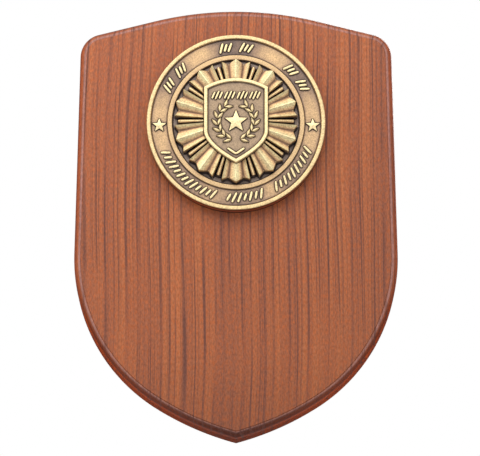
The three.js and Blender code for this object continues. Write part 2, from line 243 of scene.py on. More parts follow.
def bezier(first, control, last, shares):
    """Points at the given shares of a curve, or at so many even steps."""
    if isinstance(shares, int):
        shares = np.linspace(0, 1, shares + 1)
    shares = shares[:, None]
    first, control, last = np.array(first), np.array(control), np.array(last)
    points = (1 - shares) ** 2 * first + 2 * (1 - shares) * shares * control + shares**2 * last
    return [tuple(point) for point in points]


def filleted(corners, steps=5):
    """A profile through (x, y, radius) corners, each rounded by its radius."""
    points = []
    for index, (x, y, radius) in enumerate(corners):
        corner = Vector((x, y))
        if radius == 0 or index in (0, len(corners) - 1):
            points.append((x, y))
            continue
        back = (Vector(corners[index - 1][:2]) - corner).normalized()
        ahead = (Vector(corners[index + 1][:2]) - corner).normalized()
        bend = math.pi - back.angle(ahead)
        reach = radius * math.tan(bend / 2)
        points += bezier(corner + back * reach, corner, corner + ahead * reach, steps)
    return points


# Meshes


def stood_up(points):
    """From lying on its back to standing at the wall."""
    return [(x, -z, y) for x, y, z in points]


def lofted(name, rings):
    """A closed solid through rings of equally many points. Each end closes on its middle point."""
    count = len(rings[0])
    points = [point for ring in rings for point in ring]
    last = len(points) - count
    back = len(points)
    front = back + 1
    for ring in (rings[0], rings[-1]):
        points.append(tuple(sum(values) / count for values in zip(*ring)))
    faces = []
    for here in range(count):
        after = (here + 1) % count
        faces.append((back, after, here))
        for start in range(0, last, count):
            faces.append((start + here, start + after, start + count + after, start + count + here))
        faces.append((front, last + here, last + after))
    mesh = bpy.data.meshes.new(name)
    mesh.from_pydata(stood_up(points), [], faces)
    mesh.validate()
    piece = bpy.data.objects.new(name, mesh)
    bpy.context.collection.objects.link(piece)
    return piece


def lifted(outline, height):
    return [(x, y, height) for x, y in outline]


def join_shells(name, pieces):
    """One object of several solids that stand clear of each other."""
    with bpy.context.temp_override(
        active_object=pieces[0],
        object=pieces[0],
        selected_objects=pieces,
        selected_editable_objects=pieces,
    ):
        bpy.ops.object.join()
    pieces[0].name = name
    return pieces[0]


def boolean(piece, tool, operation):
    """Joins or cuts a piece with a tool, which is then deleted."""
    modifier = piece.modifiers.new("solid", "BOOLEAN")
    modifier.operation = operation
    modifier.solver = "MANIFOLD"
    modifier.object = tool
    graph = bpy.context.evaluated_depsgraph_get()
    result = bpy.data.meshes.new_from_object(piece.evaluated_get(graph))
    piece.modifiers.remove(modifier)
    piece.data = result
    bpy.data.objects.remove(tool)


def smooth_shaded(piece, crease):
    """Smooth shading that keeps creases sharp and large faces flat up to their rounded edges."""
    piece.data.shade_smooth()
    piece.data.set_sharp_from_angle(angle=crease)
    modifier = piece.modifiers.new("flat_faces", "WEIGHTED_NORMAL")
    modifier.keep_sharp = True
    graph = bpy.context.evaluated_depsgraph_get()
    result = bpy.data.meshes.new_from_object(piece.evaluated_get(graph))
    piece.modifiers.remove(modifier)
    piece.data = result


# Board


def board_outline():
    """Arcs and straight flanks that run into each other, measured from the widest level."""
    half = BOARD_WIDTH / 2
    belly_x = half - BELLY_RADIUS
    point_x = belly_x - (POINT_RADIUS - BELLY_RADIUS) * math.cos(BELLY_TURN)
    point_y = (POINT_RADIUS - BELLY_RADIUS) * math.sin(BELLY_TURN)
    tip_turn = math.acos(-point_x / POINT_RADIUS)
    tip_y = point_y - POINT_RADIUS * math.sin(tip_turn)
    crown_y = tip_y + BOARD_HEIGHT - CROWN_RADIUS
    crown_end = math.pi / 2 - CROWN_SLOPE
    side = Vector((math.cos(SIDE_TAPER), math.sin(SIDE_TAPER)))
    flank = Vector((math.cos(crown_end), math.sin(crown_end)))
    side_reach = side.x * belly_x + BELLY_RADIUS - SHOULDER_RADIUS
    flank_reach = flank.y * crown_y + CROWN_RADIUS - SHOULDER_RADIUS
    spread = side.x * flank.y - side.y * flank.x
    shoulder_x = (side_reach * flank.y - flank_reach * side.y) / spread
    shoulder_y = (flank_reach * side.x - side_reach * flank.x) / spread
    right_half = arc(point_x, point_y, POINT_RADIUS, -tip_turn, -BELLY_TURN, 16)
    right_half += arc(belly_x, 0, BELLY_RADIUS, -BELLY_TURN, 0, 48)[1:]
    right_half += arc(belly_x, 0, BELLY_RADIUS, 0, SIDE_TAPER, 2)[1:]
    right_half += arc(shoulder_x, shoulder_y, SHOULDER_RADIUS, SIDE_TAPER, crown_end, 24)
    right_half += arc(0, crown_y, CROWN_RADIUS, crown_end, math.pi / 2, 16)
    outline = mirrored(right_half)
    top = max(y for _, y in outline)
    return [(x, y - top + board_high.z) for x, y in outline]


def edge_profile():
    """Distance inwards and height, from the back edge round to the face."""
    quirk = OVOLO_WIDTH + QUIRK_WIDTH
    ovolo_top = BOARD_THICKNESS - QUIRK_DEPTH
    profile = bezier((BACK_CHAMFER, 0), (0, 0), (0, BACK_CHAMFER), 4)
    for turn in np.linspace(0, math.pi / 2, 13):
        inwards = OVOLO_WIDTH * (1 - math.cos(turn))
        profile.append((inwards, ovolo_top - OVOLO_DEPTH * (1 - math.sin(turn))))
    corner = (quirk, BOARD_THICKNESS)
    profile += bezier((quirk, BOARD_THICKNESS - ARRIS), corner, (quirk + ARRIS, BOARD_THICKNESS), 3)
    return profile


def slot(width, back, front):
    """A slot with round ends along the keyhole's travel."""
    outline = arc(0, 0, width / 2, 0, math.pi, 16) + arc(0, -KEYHOLE_TRAVEL, width / 2, math.pi, TURN, 16)
    return lofted("slot", [lifted(outline, back), lifted(outline, front)])


def make_board():
    outline = board_outline()
    rings = [lifted(inset(outline, inwards), height) for inwards, height in edge_profile()]
    piece = lofted("lacquered_board", rings)
    entry = arc(0, -KEYHOLE_TRAVEL, ENTRY_DIAMETER / 2, 0, TURN, 48)[:-1]
    tools = [
        lofted("entry", [lifted(entry, -CUT_OVERRUN), lifted(entry, KEYHOLE_DEPTH)]),
        slot(NECK_WIDTH, -CUT_OVERRUN, KEYHOLE_LIP + CUT_OVERRUN),
        slot(UNDERCUT_WIDTH, KEYHOLE_LIP, KEYHOLE_DEPTH - PLANE_GAP),
    ]
    for tool in tools:
        boolean(piece, tool, "DIFFERENCE")
    smooth_shaded(piece, BOARD_CREASE)
    return piece


# Medal

BAND_OUTER = MEDAL_RADIUS - RIM_WIDTH
BAND_INNER = BAND_OUTER - BAND_WIDTH
BAND_MIDDLE = BAND_OUTER - BAND_WIDTH / 2
FIELD_RADIUS = BAND_INNER - RING_WIDTH
BURST_REACH = FIELD_RADIUS - FIELD_GAP
HUB_RADIUS = SHIELD_WIDTH / 2 - SHIELD_BORDER
HALF_FAN = math.pi / FAN_COUNT


def fan_value(share, values):
    """A value of the fan's section, with its ridges and valleys a little softened. The section is mirrored
    at the fan's middle and at its end."""
    steps = (-1, -0.5, 0, 0.5, 1)
    total = 0
    for step in steps:
        moved = abs(share + step * FOLD_SOFTENING)
        total += np.interp(1 - abs(1 - moved), FAN_STATIONS, values)
    return total / len(steps)


def burst_stations():
    """(turn, reach, height) of the burst's end, all round the medal, closer together at the folds."""
    shares = np.concatenate([
        np.linspace(0, 0.06, 4),
        np.linspace(0.12, 0.34, 5),
        np.linspace(0.37, 0.43, 4),
        np.linspace(0.48, 0.68, 5),
        np.linspace(0.72, 0.92, 17),
        np.linspace(0.94, 1, 4),
    ])
    shares = np.concatenate([-shares[-2:0:-1], shares])
    stations = []
    for fan in range(FAN_COUNT):
        middle = math.pi / 2 + fan * 2 * HALF_FAN
        for share in shares:
            reach = BURST_REACH * fan_value(share, FAN_REACHES)
            stations.append((middle + share * HALF_FAN, reach, fan_value(share, FAN_HEIGHTS)))
    return stations


def medal_disc():
    stations = burst_stations()
    turns = [turn for turn, _, _ in stations]
    profile = filleted([
        (MEDAL_RADIUS, 0, 0),
        (MEDAL_RADIUS, RIM_HEIGHT, RIM_ROUNDING),
        (BAND_OUTER + RIM_ROUNDING, RIM_HEIGHT, RIM_ROUNDING),
        (BAND_OUTER, BAND_HEIGHT, BAND_FILLET),
        (BAND_INNER, BAND_HEIGHT, BAND_FILLET),
        (BAND_INNER - RING_STEP, RING_HEIGHT, RING_OUTER_ROUNDING),
        (FIELD_RADIUS + RING_SLOPE, RING_HEIGHT, RING_INNER_ROUNDING),
        (FIELD_RADIUS, FIELD_HEIGHT, 0),
    ])
    rings = [
        [(radius * math.cos(turn), radius * math.sin(turn), height) for turn in turns]
        for radius, height in profile
    ]

    def ring_of(place):
        ring = []
        for turn, reach, height in stations:
            radius, level = place(reach, height)
            ring.append((radius * math.cos(turn), radius * math.sin(turn), level))
        return ring

    rings.append(ring_of(lambda reach, height: (reach + END_DRAFT, FIELD_HEIGHT)))
    for outwards, share in END_ROUNDING:
        rings.append(ring_of(lambda reach, height: (
            reach + outwards,
            FIELD_HEIGHT + (height - FIELD_HEIGHT) * share,
        )))
    for share in np.linspace(0.1, 1, 10):
        rings.append(ring_of(lambda reach, height: (
            reach + (HUB_RADIUS - reach) * share,
            height + share * (BURST_RISE + (BURST_HEIGHT - height) * (1 - HUB_RADIUS / BURST_REACH)),
        )))
    return lofted("medal_disc", rings)


def from_corner(first, steps):
    """Shares of a curve that starts in a corner. The first one is wide, so that insets don't fold."""
    return np.concatenate([[0], np.linspace(first, 1, steps)])


def small_shield():
    side = SHIELD_WIDTH / 2
    apex = SHIELD_ABOVE_MIDDLE
    tip = apex - SHIELD_HEIGHT
    corner = apex - SHIELD_CROWN
    side_end = corner - SHIELD_SIDE
    cheek_turn = (side, tip + SHIELD_FULLNESS * (side_end - tip))
    cheek = bezier((0, tip), cheek_turn, (side, side_end), from_corner(0.08, 20))
    crown = bezier((side, corner), (side / 2, apex), (0, apex), from_corner(0.14, 11))
    outline = mirrored(cheek + crown)
    profile = filleted([
        (0, GROOVE_HEIGHT - ROOT, 0),
        (0, SHIELD_TOP, SHIELD_ROUNDING),
        (SHIELD_BORDER - SHIELD_ROUNDING, SHIELD_TOP, SHIELD_ROUNDING),
        (SHIELD_BORDER, SHIELD_FLOOR, SHIELD_FILLET),
        (SHIELD_BORDER + SHIELD_FLOOR_MARGIN, SHIELD_FLOOR, 0),
    ])
    rings = [lifted(inset(outline, inwards), height) for inwards, height in profile]
    field_edge = rings[-1]
    middle_y = (apex + tip) / 2
    for share in np.linspace(0.93, 0.05, 14):
        rings.append([(x * share, middle_y + (y - middle_y) * share, level) for x, y, level in field_edge])
    return lofted("small_shield", rings)


def placed_loft(name, outline, levels, x, y, direction, foot):
    """A low relief form: an outline drawn along +x, scaled at each level, turned and put in its place."""
    along = Vector((math.cos(direction), math.sin(direction)))
    across = Vector((-along.y, along.x))
    middle_x = sum(point[0] for point in outline) / len(outline)
    rings = []
    for lengthwise, crosswise, height in levels:
        ring = []
        for u, v in outline:
            spot = along * (middle_x + (u - middle_x) * lengthwise) + across * v * crosswise
            ring.append((x + spot.x, y + spot.y, foot + height))
        rings.append(ring)
    return lofted(name, rings)


STROKE_LEVELS = [
    (1, 1, -ROOT),
    (1, 1, 0.6 * RELIEF),
    (0.99, 0.92, 0.82 * RELIEF),
    (0.95, 0.7, 0.97 * RELIEF),
    (0.9, 0.35, RELIEF),
]
LEAF_LEVELS = [
    (1, 1, -ROOT),
    (1, 1, 0.4 * RELIEF),
    (0.96, 0.75, 0.85 * RELIEF),
    (0.9, 0.4, 1.2 * RELIEF),
    (0.8, 0.06, 1.3 * RELIEF),
]
STAR_LEVELS = [
    (1, 1, -ROOT),
    (1, 1, 0.8 * RELIEF),
    (0.97, 0.97, 0.97 * RELIEF),
    (0.92, 0.92, 1.02 * RELIEF),
    (0.02, 0.02, 1.3 * RELIEF),
]


def star(x, y, radius, foot):
    outline = []
    for index in range(2 * STAR_POINTS):
        reach = radius if index % 2 == 0 else radius * STAR_WAIST
        turn = index * math.pi / STAR_POINTS
        outline.append((reach * math.cos(turn), reach * math.sin(turn)))
    return placed_loft("star", outline, STAR_LEVELS, x, y, math.pi / 2, foot)


def stroke(x, y, direction, length, width, foot):
    """A slanted bar with rounded ends."""
    outline = []
    for angle in np.arange(20) / 20 * TURN:
        u = math.copysign(abs(math.cos(angle)) ** STROKE_FULLNESS, math.cos(angle))
        v = math.copysign(abs(math.sin(angle)) ** STROKE_FULLNESS, math.sin(angle))
        outline.append((u * length / 2, v * width / 2))
    return placed_loft("stroke", outline, STROKE_LEVELS, x, y, direction, foot)


def leaf(x, y, direction, foot):
    steps = np.linspace(0, 1, 10)
    widths = LEAF_WIDTH / 2 * np.sin(math.pi * steps**0.8)
    lower = [(step * LEAF_LENGTH, -width) for step, width in zip(steps, widths)]
    upper = [(step * LEAF_LENGTH, width) for step, width in zip(steps[-2:0:-1], widths[-2:0:-1])]
    return placed_loft("leaf", lower + upper, LEAF_LEVELS, x, y, direction, foot)


def band_relief():
    """Two stars, and strokes where an inscription would be."""
    rows = [(middle, CLUSTER_STROKES, CLUSTER_PITCH) for middle in CLUSTER_TURNS]
    rows += [(middle, count, STROKE_PITCH) for middle, count in LONG_ROWS]
    pieces = []
    for middle, count, pitch in rows:
        for index in range(count):
            turn = math.pi / 2 - math.radians(middle) - (index - (count - 1) / 2) * pitch
            x = BAND_MIDDLE * math.cos(turn)
            y = BAND_MIDDLE * math.sin(turn)
            length = STROKE_LENGTH * STROKE_SHARES[index % len(STROKE_SHARES)]
            pieces.append(stroke(x, y, turn - STROKE_SLANT, length, STROKE_WIDTH, BAND_HEIGHT))
    for turn in (math.pi / 2 - STAR_TURN, math.pi / 2 + STAR_TURN):
        x = BAND_MIDDLE * math.cos(turn)
        y = BAND_MIDDLE * math.sin(turn)
        pieces.append(star(x, y, STAR_RADIUS, BAND_HEIGHT))
    return join_shells("band_relief", pieces)


def wreath_leaves(outer, first):
    """Every second outer or inner leaf of a wreath that is open at its top."""
    splay = -LEAF_SPLAY if outer else LEAF_SPLAY
    pieces = []
    for turn in np.linspace(WREATH_START, WREATH_END, LEAF_PAIRS)[first::2]:
        for side in (-1, 1):
            angle = -math.pi / 2 + side * turn
            x = WREATH_RADIUS * math.cos(angle)
            y = -WREATH_BELOW_MIDDLE + WREATH_RADIUS * math.sin(angle)
            pieces.append(leaf(x, y, angle + side * (math.pi / 2 + splay), SHIELD_FLOOR))
    return join_shells("wreath_leaves", pieces)


def shield_relief():
    """A star inside the wreath, and clusters of strokes above it."""
    pieces = [star(0, -WREATH_BELOW_MIDDLE, EMBLEM_STAR_RADIUS, SHIELD_FLOOR)]
    for cluster in range(ROW_CLUSTERS):
        middle = (cluster - (ROW_CLUSTERS - 1) / 2) * ROW_CLUSTER_PITCH
        for index in range(CLUSTER_STROKES):
            x = middle + (index - (CLUSTER_STROKES - 1) / 2) * ROW_STROKE_PITCH
            length = ROW_STROKE_LENGTH * (1 if index == 1 else ROW_OUTER_SHARE)
            direction = math.pi / 2 - STROKE_SLANT
            y = SHIELD_ABOVE_MIDDLE - ROW_BELOW_APEX
            pieces.append(stroke(x, y, direction, length, ROW_STROKE_WIDTH, SHIELD_FLOOR))
    return join_shells("shield_relief", pieces)


def chevron_bar(side):
    """The left (-1) or right (1) bar of the chevron below the wreath."""
    reach = (CHEVRON_LENGTH - CHEVRON_OVERLAP) / 2
    y = SHIELD_ABOVE_MIDDLE - SHIELD_HEIGHT + CHEVRON_ABOVE_TIP
    x = side * reach * math.cos(CHEVRON_SLOPE)
    return stroke(x, y, side * CHEVRON_SLOPE, CHEVRON_LENGTH, CHEVRON_WIDTH, SHIELD_FLOOR)


def make_medal():
    shield = small_shield()
    tools = [wreath_leaves(outer, first) for outer in (True, False) for first in (0, 1)]
    tools += [shield_relief(), chevron_bar(-1), chevron_bar(1)]
    for tool in tools:
        boolean(shield, tool, "UNION")
    piece = medal_disc()
    boolean(piece, band_relief(), "UNION")
    boolean(piece, shield, "UNION")
    piece.name = "cast_medal"
    lift = Vector((0, medal_high.y, MEDAL_Z))
    for vertex in piece.data.vertices:
        vertex.co += lift
    smooth_shaded(piece, MEDAL_CREASE)
    return piece


# Materials


def grey(value):
    return (value, value, value, 1)


def srgb(red, green, blue):
    """Display colour from 0 to 255, as the linear colour that a shader takes."""
    def linear(value):
        value /= 255
        return value / 12.92 if value <= 0.04045 else ((value + 0.055) / 1.055) ** 2.4
    return (linear(red), linear(green), linear(blue), 1)


class Shading:
    """Short calls for the nodes of one material or world. Their inputs are sockets or plain values."""

    def __init__(self, owner):
        owner.use_nodes = True
        self.nodes = owner.node_tree.nodes
        self.links = owner.node_tree.links

    def feed(self, socket, value):
        if isinstance(value, bpy.types.NodeSocket):
            self.links.new(value, socket)
        else:
            socket.default_value = value

    def math(self, operation, *values):
        node = self.nodes.new("ShaderNodeMath")
        node.operation = operation
        for socket, value in zip(node.inputs, values):
            self.feed(socket, value)
        return node.outputs["Value"]

    def product(self, first, second):
        return self.math("MULTIPLY", first, second)

    def vector(self, operation, *values):
        node = self.nodes.new("ShaderNodeVectorMath")
        node.operation = operation
        for socket, value in zip(node.inputs, values):
            self.feed(socket, value)
        return node.outputs["Value" if operation == "LENGTH" else "Vector"]

    def parts(self, vector):
        """The x, y and z of a vector."""
        node = self.nodes.new("ShaderNodeSeparateXYZ")
        self.feed(node.inputs["Vector"], vector)
        return node.outputs["X"], node.outputs["Y"], node.outputs["Z"]

    def noise(self, place, scale, detail, roughness=0.5, output="Fac"):
        """Soft noise, with a scale for each axis."""
        stretched = self.nodes.new("ShaderNodeMapping")
        self.feed(stretched.inputs["Vector"], place)
        self.feed(stretched.inputs["Scale"], scale)
        node = self.nodes.new("ShaderNodeTexNoise")
        self.feed(node.inputs["Vector"], stretched.outputs["Vector"])
        self.feed(node.inputs["Scale"], 1)
        self.feed(node.inputs["Detail"], detail)
        self.feed(node.inputs["Roughness"], roughness)
        return node.outputs[output]

    def occlusion(self, distance, inside=False):
        """1 where a surface lies open, less in recesses, or near sharp edges when it looks inside."""
        node = self.nodes.new("ShaderNodeAmbientOcclusion")
        node.samples = 16
        node.inside = inside
        node.only_local = True
        self.feed(node.inputs["Distance"], distance)
        return node.outputs["AO"]

    def ramp(self, value, stops):
        """A colour or grey level by value. The stops are (value, colour or grey level)."""
        node = self.nodes.new("ShaderNodeValToRGB")
        elements = node.color_ramp.elements
        toned = [(position, tone if isinstance(tone, tuple) else grey(tone)) for position, tone in stops]
        elements[0].position, elements[0].color = toned[0]
        elements[1].position, elements[1].color = toned[-1]
        for position, tone in toned[1:-1]:
            elements.new(position).color = tone
        self.feed(node.inputs["Fac"], value)
        return node.outputs["Color"]

    def fade_out(self, value, start, end):
        """1 up to the start and 0 from the end on."""
        node = self.nodes.new("ShaderNodeMapRange")
        for name, number in (("From Min", start), ("From Max", end), ("To Min", 1), ("To Max", 0)):
            self.feed(node.inputs[name], number)
        self.feed(node.inputs["Value"], value)
        return node.outputs["Result"]

    def mix(self, share, first, second, blend="MIX"):
        """Colours are inputs 6 and 7 of a mix node, and output 2."""
        node = self.nodes.new("ShaderNodeMix")
        node.data_type = "RGBA"
        node.blend_type = blend
        for socket, value in ((node.inputs[0], share), (node.inputs[6], first), (node.inputs[7], second)):
            self.feed(socket, value)
        return node.outputs[2]

    def tinted(self, colour, factor):
        return self.mix(1.0, colour, factor, "MULTIPLY")

    def bump(self, height, strength):
        node = self.nodes.new("ShaderNodeBump")
        self.feed(node.inputs["Strength"], strength)
        self.feed(node.inputs["Distance"], BUMP_HEIGHT)
        self.feed(node.inputs["Height"], height)
        return node.outputs["Normal"]


def new_material(name):
    """A material, the calls for its nodes, and its shader."""
    material = bpy.data.materials.new(name)
    make = Shading(material)
    return material, make, make.nodes["Principled BSDF"]


# Wood


def wood_grain(make, place):
    """Broad bands and soft streaks along the grain, with fine reddish specks."""
    bands = make.noise(place, (105, 105, 3), 3)
    streaks = make.noise(place, (330, 330, 5), 2, 0.6)
    specks = make.noise(place, (1000, 1000, 420), 2, 0.6)
    colour = make.ramp(bands, [
        (0.36, srgb(162, 97, 69)),
        (0.5, srgb(177, 104, 68)),
        (0.64, srgb(196, 117, 72)),
    ])
    colour = make.mix(make.ramp(streaks, [(0.46, 0), (0.7, 0.4)]), colour, srgb(148, 82, 60))
    return make.mix(make.ramp(specks, [(0.44, 0), (0.64, 0.6)]), colour, srgb(196, 100, 48))


def with_grain_lines(make, place, colour):
    """Dark upright lines at uneven spacing, a period apart on average, that fade in and out as they run."""
    across, _, _ = make.parts(place)
    sway = make.product(make.noise(place, (110, 110, 2.5), 1), GRAIN_SWAY)
    shown = make.ramp(make.noise(place, (100, 100, 18), 2), [(0.34, 0.15), (0.56, 1)])
    for period, strength in GRAIN_LINES:
        wave = make.math("SINE", make.math("MULTIPLY_ADD", across, TURN / period, sway))
        lines = make.ramp(wave, [(0.76, 0), (0.93, 0.6 * strength), (1.0, strength)])
        colour = make.mix(make.product(lines, shown), colour, srgb(100, 62, 54))
    return colour


def with_moulding(make, colour, depth, level, normal):
    """Redder walls round the edge, painted paler where they face up and deeper orange where they face down.
    Painted shade lies under the rounded edge where it faces down. A painted highlight runs along the crest
    and turns to a painted dark reflection where it faces down. What faces down is also painted lighter or
    darker by height, darkest at the board's point.
    """
    moulding = make.math("GREATER_THAN", depth, QUIRK_DEPTH - BOARD_THICKNESS - 0.02 * MM)
    _, outwards, upwards = make.parts(normal)
    facing = make.math("ABSOLUTE", outwards)
    up_share = make.ramp(upwards, [(0.2, 0), (0.8, 1)])
    down_share = make.ramp(make.product(upwards, -1.0), [(0.08, 0), (0.35, 1)])
    # Wall colour by the way the wall faces: painted paler facing up, deeper orange facing down
    wall_with_painted_light = make.mix(down_share, srgb(184, 88, 50), srgb(176, 66, 8))
    wall_with_painted_light = make.mix(up_share, wall_with_painted_light, srgb(150, 92, 78))
    steep = make.ramp(facing, [(0.3, 0.85), (0.7, 0.4), (0.86, 0)])
    colour = make.mix(make.product(steep, moulding), colour, wall_with_painted_light)

    below = make.product(down_share, moulding)
    # Painted shade under the rounded edge where it faces down
    under = make.ramp(facing, [(0.3, 0), (0.5, 0.85), (0.85, 0.75), (0.99, 0.4)])
    colour = make.mix(make.product(under, below), colour, srgb(84, 36, 22))
    # Painted highlight along the crest, a painted dark reflection where the crest faces down
    crest = make.ramp(facing, [(0.0, 0), (0.8, 0), (0.91, 0.6), (0.985, 0.6), (0.998, 0)])
    painted_crest_reflection = make.mix(down_share, srgb(178, 136, 130), srgb(94, 66, 64))
    colour = make.mix(crest, colour, painted_crest_reflection)
    # Painted shade and light by height on what faces down, darkest at the board's point
    painted_light_by_level = make.ramp(level, [(0.0, 0.62), (0.05, 0.95), (0.1, 1.25), (0.2, 1.35), (0.4, 1)])
    return make.mix(below, colour, make.tinted(colour, painted_light_by_level))


def wood_material():
    """Slightly wavy vertical grain and a fine mottle under a satin lacquer. Painted shade makes the board
    darker towards its point, and a little darker to the right."""
    material, make, shader = new_material("lacquered_wood")
    texture = make.nodes.new("ShaderNodeTexCoord")
    place = texture.outputs["Object"]
    drift = make.noise(place, (9, 9, 9), 1, output="Color")
    wavy = make.vector("MULTIPLY_ADD", drift, (GRAIN_DRIFT, 0, 0), place)
    mottle = make.noise(wavy, (1500, 1500, 620), 2, 0.6)

    across, depth, height = make.parts(place)
    level = make.math("MULTIPLY_ADD", height, 1 / BOARD_HEIGHT, -board_low.z / BOARD_HEIGHT)
    side = make.math("MULTIPLY_ADD", across, 1 / BOARD_WIDTH, 0.5)
    colour = wood_grain(make, wavy)
    # Painted shade: darker towards the board's point, as if the light came from above
    colour = make.tinted(colour, make.ramp(level, [(0.0, 0.66), (0.2, 0.84), (0.7, 0.92), (1.0, 1.02)]))
    # Painted shade: a little darker to the right, as if the light came from the left
    colour = make.tinted(colour, make.ramp(side, [(0.0, 1.04), (1.0, 0.91)]))
    colour = with_moulding(make, colour, depth, level, texture.outputs["Normal"])
    colour = with_grain_lines(make, wavy, colour)
    colour = make.tinted(colour, make.ramp(mottle, [(0.34, 0.8), (0.66, 1.2)]))

    make.feed(shader.inputs["Base Color"], colour)
    make.feed(shader.inputs["Normal"], make.bump(mottle, 0.08))
    shader.inputs["Roughness"].default_value = 0.38
    shader.inputs["Specular IOR Level"].default_value = 0.2
    shader.inputs["Coat Weight"].default_value = 0.03
    shader.inputs["Coat Roughness"].default_value = 0.12
    return material


# Brass


def spot_on_medal(make, place):
    """Height over the medal's back, distance from its middle, and the turn from its top, clockwise."""
    shifted = make.vector("SUBTRACT", place, (0, medal_high.y, MEDAL_Z))
    across, depth, upwards = make.parts(shifted)
    flat = make.vector("MULTIPLY", shifted, (1, 0, 1))
    height = make.product(depth, -1.0)
    return height, make.vector("LENGTH", flat), make.math("ARCTAN2", across, upwards)


def burst_fold(make, height, radius):
    """Depth in the pleats at the same share all along a fan: 0 on the ridges, 1 in the valleys, a
    little more on the narrow rays and far more in the grooves."""
    rise = BURST_RISE / (BURST_REACH - HUB_RADIUS)
    ridge = make.math("MULTIPLY_ADD", radius, -rise, BURST_HEIGHT + rise * BURST_REACH)
    drop = make.math("SUBTRACT", ridge, height)
    return make.math("DIVIDE", drop, make.product(radius, PLEAT_DEPTH / BURST_REACH))


def burst_colour(make, fold, blotches, openness):
    """Bright ridges and rays, brown valleys, and dark patina in the grooves and the sunken field."""
    colour = make.ramp(fold, [
        (0.0, srgb(255, 238, 188)),
        (0.09, srgb(255, 236, 184)),
        (0.17, srgb(250, 216, 164)),
        (0.22, srgb(208, 170, 130)),
        (0.25, srgb(142, 113, 91)),
        (0.273, srgb(128, 102, 84)),
        (0.28, srgb(255, 232, 180)),
        (0.34, srgb(252, 224, 172)),
        (0.4, srgb(170, 140, 112)),
        (0.6, srgb(122, 104, 96)),
        (0.93, srgb(112, 98, 94)),
        (0.97, srgb(204, 188, 172)),
    ])
    colour = make.tinted(colour, make.ramp(blotches, [(0.35, srgb(234, 230, 228)), (0.6, 1)]))
    recess = make.ramp(openness, [
        (0.25, srgb(206, 202, 208)),
        (0.6, srgb(234, 230, 230)),
        (0.85, 1),
    ])
    return make.tinted(colour, recess)


def band_colour(make, turn, unevenness, walls):
    """Brown patina on the sunken band, by the turn round the medal and darker beside its walls."""
    share = make.math("MULTIPLY_ADD", turn, 1 / TURN, 0.5)
    by_turn = make.ramp(share, [(degrees / 360 + 0.5, level) for degrees, level in BAND_PATINA])
    patina = make.math("MULTIPLY_ADD", by_turn, 0.8, make.product(unevenness, 2.0))
    return make.ramp(make.math("ADD", patina, walls), [
        (0.0, srgb(208, 174, 131)),
        (0.5, srgb(156, 130, 108)),
        (1.0, srgb(108, 94, 88)),
    ])


def outer_wall_colour(make, height, normal):
    """Brass with painted shade that darkens it towards the wood, and where it looks down on the wood a
    painted red reflection of the wood between painted dark lines of shade.
    """
    share = make.product(height, 1 / RIM_HEIGHT)
    # Painted shade: darker towards the wood
    brass = make.ramp(share, [
        (0.0, srgb(78, 62, 50)),
        (0.2, srgb(120, 98, 74)),
        (0.55, srgb(164, 136, 98)),
        (0.9, srgb(186, 156, 112)),
        (1.0, srgb(228, 200, 152)),
    ])
    # Painted reflection of the wood, with painted dark lines of shade above and below it
    painted_wood_reflection = make.ramp(share, [
        (0.0, srgb(76, 44, 34)),
        (0.22, srgb(92, 54, 42)),
        (0.4, srgb(204, 136, 108)),
        (0.6, srgb(204, 136, 108)),
        (0.75, srgb(112, 70, 52)),
        (0.94, srgb(112, 70, 52)),
        (1.0, srgb(220, 190, 146)),
    ])
    _, _, upwards = make.parts(normal)
    below = make.ramp(make.product(upwards, -1.0), [(0.5, 0), (0.9, 0.9)])
    return make.mix(below, brass, painted_wood_reflection)


